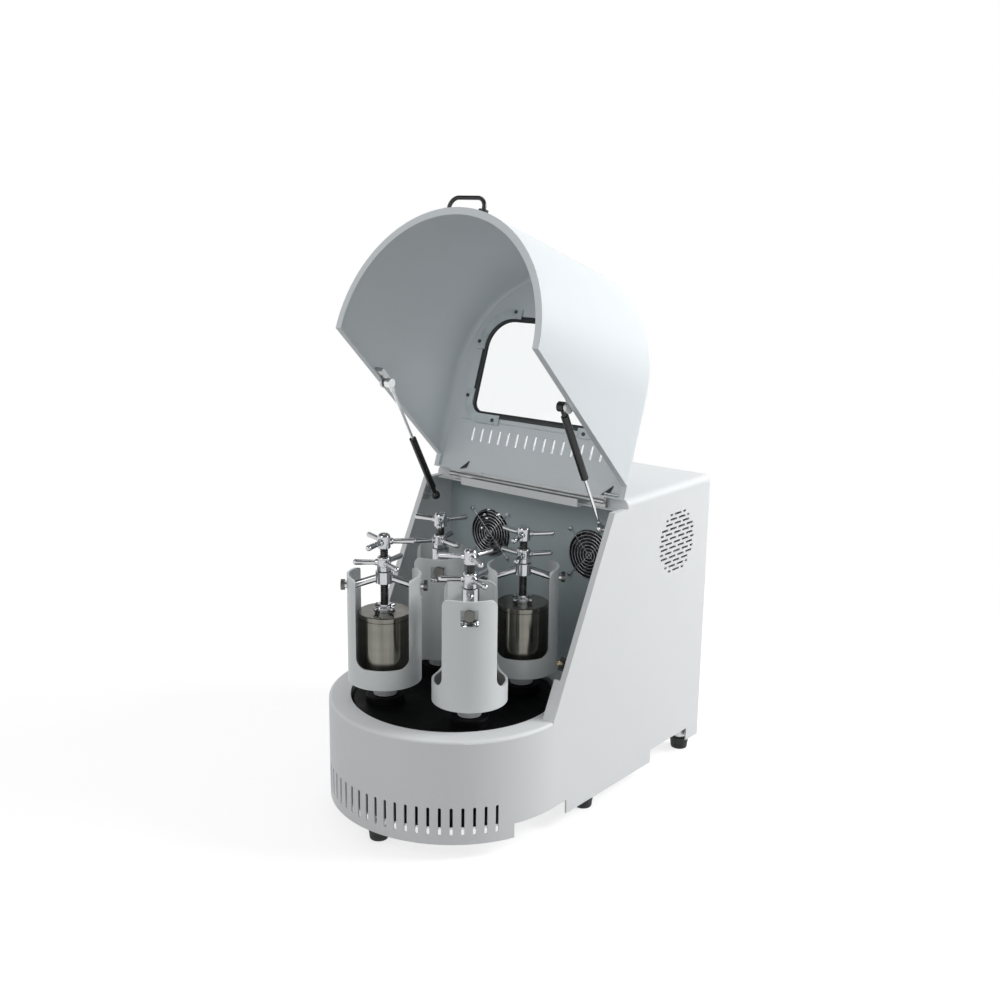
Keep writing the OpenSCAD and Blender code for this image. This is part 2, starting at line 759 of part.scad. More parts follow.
// Same outline drawn in by the thickness of the rim, which leaves the return flanges standing
module hood_side_inner() {
    dy = rim_t * slant_len / slant_rise;
    polygon([
        [-far, hood_rim_z + rim_t], [hood_low_y - dy + rim_t * slant_run / slant_rise, hood_rim_z + rim_t],
        [hood_corner_y - dy, shelf_z + hood_gap], [hood_corner_y - dy, far], [-far, far]
    ]);
}

module hood_closed()
    difference() {
        intersection() {
            hood_block(0);
            slab_x(-far, far) hood_side();
        }
        intersection() {
            hood_block(hood_wall);
            slab_x(-far, far) hood_side_inner();
        }
        translate([0, 0, -1]) linear_extrude(top_z - hood_wall) {
            circle(r = drum_r - rim_w, $fn = 128);
            translate([-drum_r + rim_w, 0]) square([2 * (drum_r - rim_w), hood_back_y - rim_t]);
        }
        translate([0, 0, top_z - 20]) linear_extrude(40) window_plan(6);
        for (i = [0:hood_slots - 1]) translate([(i - (hood_slots - 1) / 2) * 22.5, 0, top_z])
            block([-2.75, 2.75], [105, 132], [-20, 20]);
    }

module hood() color(white) hood_open() hood_closed();

module window_pane()
    color([0.8, 0.86, 0.88, 0.35]) hood_open()
        translate([0, 0, top_z - hood_wall]) linear_extrude(pane_t) window_plan(3);

module window_gasket()
    color(dark) hood_open() {
        translate([0, 0, top_z - hood_wall - gasket_t]) linear_extrude(gasket_t) difference() {
            window_plan(gasket_out);
            window_plan(0);
        }
        translate([0, 0, top_z - hood_wall]) linear_extrude(hood_wall) difference() {
            window_plan(6);
            window_plan(3);
        }
        translate([0, 0, top_z]) linear_extrude(2) difference() {
            window_plan(gasket_out);
            window_plan(0);
        }
    }

// Corner plates that press the gasket against the inside of the hood, each on a raised foot beside it
retainer_out = 24;
retainer_t = 2;
retainer_corners = [[96, [-200, -56]], [97, [27, 200]]];
retainer_screws = [[111, -137], [188, -71], [188, 42], [112, 86]];
module corner_plan(corner, inner)
    intersection() {
        difference() {
            window_plan(retainer_out);
            window_plan(inner);
        }
        translate([corner[0], corner[1][0]]) square([drum_r, corner[1][1] - corner[1][0]]);
    }

module window_retainers() {
    under = top_z - hood_wall - gasket_t;
    hood_open() both_sides() {
        color(shade) for (corner = retainer_corners) {
            translate([0, 0, under - retainer_t]) linear_extrude(retainer_t) corner_plan(corner, 5);
            translate([0, 0, under]) linear_extrude(gasket_t) corner_plan(corner, gasket_out + foot_gap);
        }
        color(dark) for (p = retainer_screws)
            translate([p[0], p[1], under - retainer_t - 1.5]) cylinder(h = 1.5, r = 3.8, $fn = 24);
    }
}

// Bow handle whose feet are cut to the round front of the hood
module hood_handle() {
    half = 40;
    bend = 18;
    r = 3.8;
    foot_r = 9;
    handle_z = 245;
    out_y = -drum_r - 23;
    color(dark) hood_open() translate([0, 0, handle_z]) difference() {
        union() {
            translate([0, out_y, 0]) rod_x(-half + bend, half - bend, r, $fn = 32);
            both_sides() {
                translate([half, 0, 0]) rod_y(out_y + bend, -drum_r + 8, r, $fn = 32);
                translate([half - bend, out_y + bend, 0]) rotate([0, 0, -90])
                    rotate_extrude(angle = 90, $fn = 48) translate([bend, 0]) circle(r = r, $fn = 32);
                translate([half, 0, 0]) rod_y(-drum_r - 1.5, -drum_r + 8, foot_r, $fn = 32);
            }
        }
        translate([0, 0, -20]) cylinder(h = 40, r = drum_r, $fn = 128);
    }
}

module hood_brackets() {
    leaf = [-hinge_half, hinge_half];
    color(steel) hood_open() {
        difference() {
            union() {
                block(leaf, [hood_back_y, hood_back_y + 2], [shelf_z + hood_gap, top_z - 4]);
                block(leaf, [hood_back_y, hinge[0]], [hinge[1] + 2, hinge[1] + 4]);
            }
            knuckle_row(0, knuckle_r + 0.5, 0.8);
            translate([0, hinge[0], hinge[1]]) rod_x(-far, far, pin_r + run_gap);
        }
        difference() {
            knuckle_row(1, knuckle_r, 0);
            translate([0, hinge[0], hinge[1]]) rod_x(-far, far, pin_r + run_gap);
        }
        both_sides() translate([0, hood_stud_closed[0], hood_stud_closed[1]]) {
            rod_x(strut_x + cylinder_r + 0.8, 219, 4, $fn = 32);
            rod_x(strut_x + cylinder_r + 0.8, 214, 7, $fn = 32);
            rod_x(216, 221, 11, $fn = 32);
            rotate([slant_angle, 0, 0]) block([216, drum_r - hood_wall], [-14, 14], [4.5, 16]);
            rotate([slant_angle, 0, 0]) block([216, 221], [-9.5, 9.5], [0, 10]);
        }
    }
    color(dark) hood_open() on_slant(-drum_r + hood_wall, magnet_z)
        block([0, 21], [-6, 6], [hood_gap + rim_t, hood_gap + rim_t + 9]);
    color(steel) hood_open() on_slant(drum_r - hood_wall, switch_z)
        block([-20, 0], [-8, 8], [plunger_out + 0.6, plunger_out + 3.6]);
}

hood_stud_open = let (y = hood_stud_closed[0] - hinge[0], z = hood_stud_closed[1] - hinge[1], a = open_angle)
    [hinge[0] + y * cos(a) + z * sin(a), hinge[1] - y * sin(a) + z * cos(a)];
strut_vec = hood_stud_open - body_stud;
strut_len = norm(strut_vec);
strut_angle = atan2(strut_vec[1], strut_vec[0]);

// Puts children on a strut: z = 0 at the ball on the body and z = strut_len at the hood stud
module on_strut(side)
    translate([side * strut_x, body_stud[0], body_stud[1]]) rotate([strut_angle - 90, 0, 0]) children();

// Cup that snaps over the ball on the body
module ball_socket(side)
    difference() {
        sphere(r = socket_r, $fn = 48);
        sphere(r = 6 + run_gap, $fn = 48);
        translate([side > 0 ? 2.5 : -22.5, -10, -10]) cube(20);
    }

// Flat eye that meets the end of the stud on the hood
module eye() rod_x(-5.5, 7, socket_r, $fn = 48);

module strut_cylinder(z0, z1, rod_end)
    difference() {
        translate([0, 0, z0]) cylinder(h = z1 - z0, r = cylinder_r, $fn = 48);
        translate([0, 0, rod_end > 0 ? z0 + 8 : z0 - 1])
            cylinder(h = z1 - z0 - 7, r = rod_r + run_gap, $fn = 48);
    }

neck = 20;
module strut_left_cylinder()
    color(dark) on_strut(-1) {
        ball_socket(-1);
        translate([0, 0, socket_r - 1.5]) cylinder(h = neck - socket_r + 1.5, r = 4.5, $fn = 32);
        strut_cylinder(neck, neck + cylinder_len, 1);
    }
module strut_left_rod()
    color(steel) on_strut(-1) {
        translate([0, 0, strut_len - 14 - 128]) cylinder(h = 128, r = rod_r, $fn = 48);
        translate([0, 0, strut_len - 18]) cylinder(h = 11, r = 5, $fn = 32);
        mirror([1, 0, 0]) translate([0, 0, strut_len]) eye();
    }
module strut_right_rod()
    color(steel) on_strut(1) {
        ball_socket(1);
        translate([0, 0, socket_r - 1.5]) cylinder(h = 11, r = 5, $fn = 32);
        translate([0, 0, 14]) cylinder(h = 128, r = rod_r, $fn = 48);
    }
module strut_right_cylinder()
    color(dark) on_strut(1) {
        translate([0, 0, strut_len]) eye();
        translate([0, 0, strut_len - neck]) cylinder(h = neck - 6, r = 4.5, $fn = 32);
        strut_cylinder(strut_len - neck - right_cylinder_len, strut_len - neck, 0);
    }

// Switch on the inside of the right wall, its collar stands beside the edge of the flange
module safety_switch()
    color(dark) on_slant(plunger_x, switch_z) difference() {
        union() {
            block([-8, drum_r - sheet - plunger_x], [-12, 12], [-sheet - 26, -sheet]);
            translate([0, 0, -sheet]) cylinder(h = sheet + 3, r = plunger_r + 1.5, $fn = 48);
        }
        translate([0, 0, -sheet - 20]) cylinder(h = 40, r = plunger_r + run_gap, $fn = 48);
    }

module safety_plunger()
    color([0.78, 0.65, 0.35]) on_slant(plunger_x, switch_z) {
        translate([0, 0, -sheet - 12]) cylinder(h = sheet + 12 + plunger_out - 1, r = plunger_r, $fn = 48);
        translate([0, 0, plunger_out - 1]) cylinder(h = 1, r1 = plunger_r, r2 = plunger_r - 1, $fn = 48);
    }

// Frequency inverter behind the left side, with its keypad, and the holders of the switch and stop button
module inverter() {
    x0 = -drum_r + sheet;
    proud = -drum_r - 1.5;
    wide = [control_y - 33.5, control_y + 33.5];
    color(shade) {
        block([x0, x0 + 90], [control_y - 42, control_y + 42], [keypad_z - 63, keypad_z + 63]);
        block([proud, x0 + 1], wide, [keypad_z - 52.5, keypad_z + 52.5]);
    }
    color(dark) {
        block([-drum_r - 2, -drum_r], [control_y - 26, control_y + 26], [keypad_z + 20, keypad_z + 45]);
        for (i = [-1:1], j = [-1:0]) {
            y = control_y + i * 17;
            z = keypad_z - 8 + j * 22;
            block([-drum_r - 2.3, -drum_r], [y - 6, y + 6], [z - 7, z + 7]);
        }
        difference() {
            union() {
                block([proud, -drum_r], [control_y - 12, control_y + 12], [rocker_z - 17, rocker_z + 17]);
                block([-drum_r, x0 + 22], [control_y - 9, control_y + 9], [rocker_z - 13.5, rocker_z + 13.5]);
            }
            translate([0, control_y, rocker_z]) block([proud - 2, x0 + 14], [-7.4, 7.4], [-12.4, 12.4]);
        }
        translate([0, control_y, stop_z]) difference() {
            union() {
                rod_x(proud, -drum_r, 17, $fn = 48);
                rod_x(-drum_r, x0 + 24, 11.5, $fn = 48);
            }
            rod_x(-drum_r - 3, x0 + 20, 8 + run_gap, $fn = 48);
        }
    }
}

module power_rocker()
    color(dark) translate([-drum_r, control_y, rocker_z]) rotate([0, -8, 0]) intersection() {
        rod_y(-7, 7, 12, $fn = 48);
        block([-4, 10], [-7, 7], [-11, 11]);
    }

module stop_button()
    color([0.75, 0.1, 0.1]) translate([-drum_r, control_y, stop_z]) {
        rod_x(-5, 16, 8, $fn = 48);
        rod_x(-9, -4.5, 14, $fn = 48);
    }

at_drum() housing();
at_drum() bulkhead();
at_drum() base_plate();
at_drum() feet();
at_drum() rear_cover();
at_drum() body_screws();
at_drum() body_brackets();
at_drum() fan_frames();
at_drum() drive_frame();
at_drum() sun_gear();
at_drum() motor();
at_drum() drive_belt();
at_drum() inverter();
at_drum() safety_switch();
at_drum() turntable();
at_drum() main_shaft();
at_drum() motor_pulley();
at_drum() fan_rotor_left();
at_drum() fan_rotor_right();
at_drum() hood();
at_drum() window_pane();
at_drum() window_gasket();
at_drum() window_retainers();
at_drum() hood_handle();
at_drum() hood_brackets();
at_drum() strut_left_cylinder();
at_drum() strut_left_rod();
at_drum() strut_right_cylinder();
at_drum() strut_right_rod();
at_drum() safety_plunger();
at_drum() power_rocker();
at_drum() stop_button();
at_drum() jar_holder(0);  // jar_holder_front
at_drum() jar_holder(1);  // jar_holder_right
at_drum() jar_holder(2);  // jar_holder_back
at_drum() jar_holder(3);  // jar_holder_left
at_drum() jar(0);  // jar_front
at_drum() jar(1);  // jar_right
at_drum() jar(2);  // jar_back
at_drum() jar(3);  // jar_left
at_drum() jar_lid(0);  // jar_lid_front
at_drum() jar_lid(1);  // jar_lid_right
at_drum() jar_lid(2);  // jar_lid_back
at_drum() jar_lid(3);  // jar_lid_left
at_drum() clamp_bridge(0);  // clamp_bridge_front
at_drum() clamp_bridge(1);  // clamp_bridge_right
at_drum() clamp_bridge(2);  // clamp_bridge_back
at_drum() clamp_bridge(3);  // clamp_bridge_left
at_drum() pressure_foot(0);  // pressure_foot_front
at_drum() pressure_foot(1);  // pressure_foot_right
at_drum() pressure_foot(2);  // pressure_foot_back
at_drum() pressure_foot(3);  // pressure_foot_left
at_drum() clamp_screw(0);  // clamp_screw_front
at_drum() clamp_screw(1);  // clamp_screw_right
at_drum() clamp_screw(2);  // clamp_screw_back
at_drum() clamp_screw(3);  // clamp_screw_left
at_drum() lock_nut(0);  // lock_nut_front
at_drum() lock_nut(1);  // lock_nut_right
at_drum() lock_nut(2);  // lock_nut_back
at_drum() lock_nut(3);  // lock_nut_left
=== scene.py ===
import itertools
import json
import math

import bmesh
import bpy
from mathutils import Matrix, Vector


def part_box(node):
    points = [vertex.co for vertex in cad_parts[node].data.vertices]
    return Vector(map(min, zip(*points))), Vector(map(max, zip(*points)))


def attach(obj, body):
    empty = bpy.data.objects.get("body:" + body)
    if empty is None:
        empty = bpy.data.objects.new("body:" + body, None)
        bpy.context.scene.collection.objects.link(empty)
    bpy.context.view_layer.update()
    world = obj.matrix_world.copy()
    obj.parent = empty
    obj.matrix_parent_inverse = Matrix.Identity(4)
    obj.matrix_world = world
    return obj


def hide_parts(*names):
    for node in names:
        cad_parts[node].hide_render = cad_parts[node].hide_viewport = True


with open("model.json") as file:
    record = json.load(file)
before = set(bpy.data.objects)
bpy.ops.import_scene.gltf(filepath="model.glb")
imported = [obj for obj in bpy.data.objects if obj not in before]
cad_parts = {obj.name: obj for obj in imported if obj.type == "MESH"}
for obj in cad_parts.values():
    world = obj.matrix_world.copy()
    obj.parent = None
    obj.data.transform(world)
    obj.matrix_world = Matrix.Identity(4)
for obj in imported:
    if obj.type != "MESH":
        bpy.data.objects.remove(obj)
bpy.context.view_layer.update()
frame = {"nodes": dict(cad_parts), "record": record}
NODES = frame["nodes"]

# Measures of the machine that the added pieces are placed by: metres, unless a name says MM
MM = 0.001
DRUM_Y = -0.140
STATIONS = ("front", "right", "back", "left")
FIRST_STATION = -36.8
STATION_R = 0.13125
BULKHEAD_Y = 0.116
HINGE = Vector((0.0, 0.0645, 0.5818))
OPEN_ANGLE = math.radians(-108.6)
TO_OPEN = Matrix.Translation(HINGE) @ Matrix.Rotation(OPEN_ANGLE, 4, "X") @ Matrix.Translation(-HINGE)

# Camera, fitted to the photograph
CAMERA_AT = (1.4617, -1.8187, 1.1265)
AZIMUTH = 38.932
ELEVATION = 13.499
ROLL = 0.734
LENS = 45.17
SENSOR = 36.0


def station_angle(k):
    return math.radians(FIRST_STATION + 90 * k)


def station_axis(k):
    """Centre of station k in plan."""
    a = station_angle(k)
    return STATION_R * math.cos(a), DRUM_Y + STATION_R * math.sin(a)


# Node helpers

# Cosine between the true and the softened normal, on flat ground and fully on an edge
EDGE_DOT = (0.995, 0.85)
WHITE_LIGHT = (1.0, 1.0, 1.0, 1.0)


class Nodes:
    """The node tree of a material or a world, with short calls that add a node and link its inputs."""

    def __init__(self, owner, output="ShaderNodeOutputMaterial"):
        owner.use_nodes = True
        self.owner = owner
        self.tree = owner.node_tree
        self.tree.nodes.clear()
        self.output = self.tree.nodes.new(output)

    def add(self, kind, inputs=None, **settings):
        node = self.tree.nodes.new(kind)
        for key, value in settings.items():
            setattr(node, key, value)
        for key, value in (inputs or {}).items():
            self.feed(node, key, value)
        return node

    def feed(self, node, key, value):
        socket = node.inputs[key]
        if isinstance(value, bpy.types.NodeSocket):
            self.tree.links.new(value, socket)
        else:
            socket.default_value = value

    def coords(self):
        return self.add("ShaderNodeTexCoord").outputs["Object"]

    def scaled(self, vector, scale):
        return self.add("ShaderNodeMapping", {"Vector": vector, "Scale": scale}).outputs["Vector"]

    def noise(self, vector, scale, detail=2.0, roughness=0.5):
        inputs = {"Vector": vector, "Scale": scale, "Detail": detail, "Roughness": roughness}
        return self.add("ShaderNodeTexNoise", inputs).outputs["Fac"]

    def math(self, operation, a, b):
        return self.add("ShaderNodeMath", {0: a, 1: b}, operation=operation).outputs[0]

    def span(self, value, low, high):
        """Maps 0.3 to 0.7, where most of a noise lies, onto low to high."""
        inputs = {"Value": value, "From Min": 0.3, "From Max": 0.7, "To Min": low, "To Max": high}
        return self.add("ShaderNodeMapRange", inputs).outputs["Result"]

    def mix(self, factor, a, b):
        """Mixes two colours, whose sockets on this node are inputs 6 and 7 and output 2."""
        inputs = {"Factor": factor, 6: a, 7: b}
        return self.add("ShaderNodeMix", inputs, data_type="RGBA").outputs[2]

    def edge_normal(self, radius):
        return self.add("ShaderNodeBevel", {"Radius": radius}, samples=4).outputs["Normal"]

    def edge_mask(self, soft):
        """Near 1 where the softened normal leaves the true one, which is along an edge."""
        true = self.add("ShaderNodeNewGeometry").outputs["Normal"]
        dot = self.add("ShaderNodeVectorMath", {0: true, 1: soft}, operation="DOT_PRODUCT").outputs["Value"]
        inputs = {"Value": dot, "From Min": EDGE_DOT[0], "From Max": EDGE_DOT[1]}
        return self.add("ShaderNodeMapRange", inputs).outputs["Result"]

    def bump(self, height, strength, distance, normal):
        inputs = {"Height": height, "Strength": strength, "Distance": distance, "Normal": normal}
        return self.add("ShaderNodeBump", inputs).outputs["Normal"]

    def seen(self):
        """1 on rays that show the surroundings: straight, mirrored or through a clear sheet."""
        path = self.add("ShaderNodeLightPath").outputs
        seen = self.math("MAXIMUM", path["Is Camera Ray"], path["Is Glossy Ray"])
        return self.math("MAXIMUM", seen, path["Is Transmission Ray"])

    def glow(self, strength):
        return self.add("ShaderNodeEmission", {"Color": WHITE_LIGHT, "Strength": strength}).outputs[0]

    def show(self, shader):
        """Links a shader to the output, and returns the material or world."""
        self.tree.links.new(shader, self.output.inputs["Surface"])
        return self.owner

    def surface(self, inputs):
        return self.show(self.add("ShaderNodeBsdfPrincipled", inputs).outputs[0])


def rgba(colour, shade=1.0):
    return tuple(c * shade for c in colour) + (1.0,)


# Materials

def powder_coat(name, colour, roughness, grain=900.0, depth=0.00006, edge=0.0007, edge_highlight=1.0):
    """Baked powder paint: orange peel, faint cloudiness, and softly rounded edges that a painted highlight
    can make paler.
    """
    n = Nodes(bpy.data.materials.new(name))
    at = n.coords()
    cloud = n.noise(at, 6.0, 3.0)
    peel = n.noise(at, grain, 1.0)
    tint = n.mix(cloud, rgba(colour, 0.97), rgba(colour, 1.02))
    gloss = n.span(n.noise(at, 14.0, 4.0), roughness - 0.04, roughness + 0.05)
    soft = n.edge_normal(edge)
    # Painted highlight: along the edges the paint colour is lifted by the given factor.
    tint = n.mix(n.edge_mask(soft), tint, rgba(colour, edge_highlight))
    normal = n.bump(peel, 0.35, depth, soft)
    return n.surface({"Base Color": tint, "Roughness": gloss, "Normal": normal, "Specular IOR Level": 0.45})


def turned_steel(name, centre, colour):
    """Lathe-turned stainless steel round the axis at centre, with highlights drawn out along it, and
    painted reflections as dark streaks along the axis in its colour.
    """
    n = Nodes(bpy.data.materials.new(name))
    axis = (centre[0], centre[1], 0.0)
    at = n.add("ShaderNodeVectorMath", {0: n.coords(), 1: axis}, operation="SUBTRACT").outputs[0]
    parts = n.add("ShaderNodeSeparateXYZ", {0: at})
    flat = n.add("ShaderNodeCombineXYZ", {0: parts.outputs[0], 1: parts.outputs[1]})
    radius = n.add("ShaderNodeVectorMath", {0: flat.outputs[0]}, operation="LENGTH").outputs["Value"]
    turn = n.add("ShaderNodeCombineXYZ", {0: radius, 1: parts.outputs[2]}).outputs[0]
    rings = n.noise(turn, 1800.0, 3.0, 0.6)
    broad = n.noise(turn, 60.0, 2.0)
    smear = n.noise(at, 25.0, 4.0, 0.6)
    painted_reflection_streak = n.noise(n.scaled(at, (1.0, 1.0, 0.04)), 70.0, 3.0, 0.6)
    tint = n.mix(n.span(broad, 0.0, 1.0), rgba(colour, 0.92), rgba(colour, 1.06))
    # Painted reflections: noise drawn out along the axis darkens the colour in long streaks.
    tint = n.mix(n.span(painted_reflection_streak, 0.0, 0.7), tint, rgba(colour, 0.5))
    gloss = n.math("ADD", n.span(rings, 0.16, 0.21), n.span(smear, -0.02, 0.04))
    normal = n.bump(rings, 0.25, 0.00001, n.edge_normal(0.0005))
    tangent = n.add("ShaderNodeTangent", direction_type="RADIAL", axis="Z").outputs[0]
    inputs = {"Base Color": tint, "Metallic": 1.0, "Roughness": gloss, "Normal": normal, "Tangent": tangent}
    return n.surface({**inputs, "Anisotropic": 0.75, "Anisotropic Rotation": 0.25})


def polished(name, colour, roughness, edge=0.0006):
    """Bright plated or polished steel, with hairline scratches and a few dull patches."""
    n = Nodes(bpy.data.materials.new(name))
    at = n.coords()
    scratch = n.noise(n.scaled(at, (1.0, 0.25, 1.0)), 1100.0, 2.0)
    dull = n.noise(at, 60.0, 5.0, 0.65)
    gloss = n.span(dull, roughness, roughness + 0.12)
    normal = n.bump(scratch, 0.12, 0.00002, n.edge_normal(edge))
    tint = n.mix(n.span(dull, 0.0, 1.0), rgba(colour, 1.0), rgba(colour, 0.9))
    return n.surface({"Base Color": tint, "Metallic": 1.0, "Roughness": gloss, "Normal": normal})


def moulded(name, colour, roughness, grain=1600.0, depth=0.00004, edge=0.0005):
    """Moulded plastic or rubber with a fine spark-eroded grain."""
    n = Nodes(bpy.data.materials.new(name))
    at = n.coords()
    skin = n.noise(at, grain, 2.0)
    dust = n.noise(at, 30.0, 5.0, 0.6)
    tint = n.mix(n.span(dust, 0.0, 1.0), rgba(colour, 1.0), rgba(colour, 1.35))
    gloss = n.span(dust, roughness - 0.05, roughness + 0.08)
    normal = n.bump(skin, 0.4, depth, n.edge_normal(edge))
    return n.surface({"Base Color": tint, "Roughness": gloss, "Normal": normal})


def cast_black(name):
    """Black lacquered casting of the turntable, with the pits of the sand showing through."""
    n = Nodes(bpy.data.materials.new(name))
    at = n.coords()
    pits = n.noise(at, 420.0, 3.0, 0.6)
    rub = n.noise(at, 22.0, 5.0, 0.6)
    tint = n.mix(n.span(rub, 0.0, 1.0), (0.0015, 0.0015, 0.002, 1.0), (0.004, 0.004, 0.005, 1.0))
    gloss = n.span(rub, 0.42, 0.62)
    normal = n.bump(pits, 0.3, 0.0002, n.edge_normal(0.001))
    return n.surface({"Base Color": tint, "Roughness": gloss, "Normal": normal, "Specular IOR Level": 0.12})


def clear_sheet(name):
    """Clear polycarbonate with a faint grey-green body and wiping marks in its gloss."""
    n = Nodes(bpy.data.materials.new(name))
    wipe = n.noise(n.scaled(n.coords(), (1.0, 0.3, 1.0)), 40.0, 4.0)
    gloss = n.span(wipe, 0.0, 0.05)
    inputs = {"Base Color": (0.96, 0.98, 0.98, 1.0), "Roughness": gloss}
    return n.surface({**inputs, "IOR": 1.45, "Transmission Weight": 1.0})


def black_oxide(name):
    """Blackened steel of the screw threads, brighter where the crests are rubbed."""
    n = Nodes(bpy.data.materials.new(name))
    at = n.coords()
    wear = n.noise(at, 90.0, 4.0, 0.6)
    tint = n.mix(n.span(wear, 0.0, 1.0), (0.02, 0.021, 0.022, 1.0), (0.09, 0.09, 0.088, 1.0))
    gloss = n.span(wear, 0.2, 0.34)
    normal = n.bump(n.noise(at, 1500.0, 2.0), 0.2, 0.00003, n.edge_normal(0.0003))
    return n.surface({"Base Color": tint, "Metallic": 0.8, "Roughness": gloss, "Normal": normal})


# Base colours of the paints and of the jars' steel
WHITE = (0.78, 0.80, 0.815)
HOOD = (0.745, 0.79, 0.815)
SHADE = (0.47, 0.54, 0.56)
HOLDER = (0.735, 0.765, 0.775)
STEEL = (0.25, 0.245, 0.215)

MATERIALS = {
    "white_paint": powder_coat("white_paint", WHITE, 0.42),
    "bulkhead_paint": powder_coat("bulkhead_paint", SHADE, 0.40),
    # The holder's edges carry a painted highlight, 1.25 times paler than its flat paint.
    "holder_paint": powder_coat("holder_paint", HOLDER, 0.34, 700.0, edge=0.0012, edge_highlight=1.25),
    "frame_paint": powder_coat("frame_paint", (0.32, 0.34, 0.36), 0.5),
    "motor_paint": powder_coat("motor_paint", (0.18, 0.22, 0.26), 0.5, 300.0, 0.0002),
    "hood_shell": powder_coat("hood_shell", HOOD, 0.34, 600.0),
    "zinc_steel": polished("zinc_steel", (0.62, 0.63, 0.63), 0.28),
    "screw_steel": polished("screw_steel", (0.6, 0.6, 0.6), 0.2),
    "gear_steel": polished("gear_steel", (0.5, 0.5, 0.49), 0.3),
    "clamp_chrome": polished("clamp_chrome", (0.60, 0.61, 0.63), 0.06),
    "chrome": polished("chrome", (0.8, 0.81, 0.82), 0.05),
    "plunger_brass": polished("plunger_brass", (0.45, 0.38, 0.24), 0.22),
    "black_plastic": moulded("black_plastic", (0.018, 0.018, 0.02), 0.42),
    "foot_rubber": moulded("foot_rubber", (0.015, 0.015, 0.016), 0.6),
    "gasket_rubber": moulded("gasket_rubber", (0.02, 0.024, 0.026), 0.38),
    "belt_rubber": moulded("belt_rubber", (0.012, 0.012, 0.012), 0.7),
    "strut_black": moulded("strut_black", (0.012, 0.012, 0.013), 0.22, 900.0),
    "handle_black": moulded("handle_black", (0.016, 0.016, 0.018), 0.25, 900.0),
    "retainer_plastic": moulded("retainer_plastic", (0.55, 0.60, 0.62), 0.3),
    "control_plastic": moulded("control_plastic", (0.12, 0.13, 0.14), 0.45),
    "red_plastic": moulded("red_plastic", (0.5, 0.02, 0.015), 0.3),
    "black_casting": cast_black("black_casting"),
    "clear_pane": clear_sheet("clear_pane"),
}
THREAD_BLACK = black_oxide("thread_black")
GUARD_WIRE = polished("guard_wire", (0.62, 0.63, 0.65), 0.08, 0.0003)
PIN_END = polished("pin_end", (0.16, 0.16, 0.15), 0.3)
JAR_STEEL = [turned_steel(f"jar_steel_{s}", station_axis(k), STEEL) for k, s in enumerate(STATIONS)]


def paint(node, material):
    data = NODES[node].data
    data.materials.clear()
    data.materials.append(material)


for entry in frame["record"]["subparts"]:
    name, slot = entry["node"], entry["material_slot"]
    if slot == "jar_steel":
        paint(name, JAR_STEEL[STATIONS.index(name.split("_")[-1])])
    else:
        paint(name, MATERIALS[slot])


# How far from the axis of its station the end of a clamp's pin begins
PIN_END_FROM = 0.0715


def paint_faces(node, material, chosen):
    """Gives another finish to those faces of a node whose centre is chosen."""
    data = NODES[node].data
    data.materials.append(material)
    for face in data.polygons:
        if chosen(face.center):
            face.material_index = 1


paint_faces("fan_frames", GUARD_WIRE, lambda at: at.y < BULKHEAD_Y)
paint_faces("bulkhead", MATERIALS["white_paint"], lambda at: at.y < BULKHEAD_Y - MM)
for k, station in enumerate(STATIONS):
    axis = Vector(station_axis(k))
    paint_faces(f"clamp_bridge_{station}", PIN_END, lambda at: (at.xy - axis).length > PIN_END_FROM)


# Mesh helpers

def lathe(bm, profile, place, steps, closed=False):
    """Turns (radius, height) points about the Z axis of place, and returns the rings."""
    turn = [2 * math.pi * i / steps for i in range(steps)]
    rings = []
    for r, z in profile:
        rings.append([bm.verts.new(place @ Vector((r * math.cos(t), r * math.sin(t), z))) for t in turn])
    pairs = list(zip(rings, rings[1:]))
    if closed:
        pairs.append((rings[-1], rings[0]))
    for low, high in pairs:
        for i in range(steps):
            j = (i + 1) % steps
            bm.faces.new((low[i], low[j], high[j], high[i]))
    return rings


def dome(radius, end, steps=6):
    """Profile points of a half-round end that reaches out to end."""
    angles = [math.pi / 2 * i / steps for i in range(steps + 1)]
    return [(radius * math.cos(a), end - radius + radius * math.sin(a)) for a in angles]


def scaled(points):
    """Points written in millimetres, as metres."""
    return [tuple(c * MM for c in p) for p in points]


def new_object(name, data):
    made = bpy.data.objects.new(name, data)
    bpy.context.scene.collection.objects.link(made)
    return made


def make_piece(name, bm, material, body, place=None, sharp=32.0):
    """Turns the mesh under construction into a smooth piece that rides on body, moved by place."""
    bmesh.ops.remove_doubles(bm, verts=bm.verts, dist=1e-6)
    bmesh.ops.recalc_face_normals(bm, faces=bm.faces)
    if place is not None:
        bm.transform(place)
    mesh = bpy.data.meshes.new(name)
    bm.to_mesh(mesh)
    bm.free()
    mesh.materials.append(material)
    mesh.polygons.foreach_set("use_smooth", [True] * len(mesh.polygons))
    mesh.set_sharp_from_angle(angle=math.radians(sharp))
    piece = new_object(name, mesh)
    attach(piece, body)
    return piece


# Clamps

THREAD_MM = {"low": 396.0, "high": 509.0, "crest": 7.5, "root": 6.4, "pitch": 4.0}
SPOKE_R_MM = 5.5
SPOKE_COLLAR_MM = [(6.3, 15.2), (5.8, 16), (4.7, 16.6), (4.7, 19)]
KNOB_MM = [(0, 508), (10.8, 508), (12, 509.2), (12, 528), (11.4, 531), (9.6, 534), (6.4, 536.2), (0, 537)]
NUT_MM = [(7.6, 465.4), (12, 465.4), (13, 466.4), (13, 474), (12.2, 474.6), (12.2, 487.6), (13, 488.2),
          (13, 490.4), (12, 492), (10.6, 493), (8.6, 493), (7.6, 492)]
KNOB_SPOKES = {"z": 521.0, "reach": 59.0, "start": 5.0, "first": (209, 49, 69, 44)}
NUT_SPOKES = {"z": 481.0, "reach": 57.0, "start": 8.6, "first": (99, 54, 109, 99)}


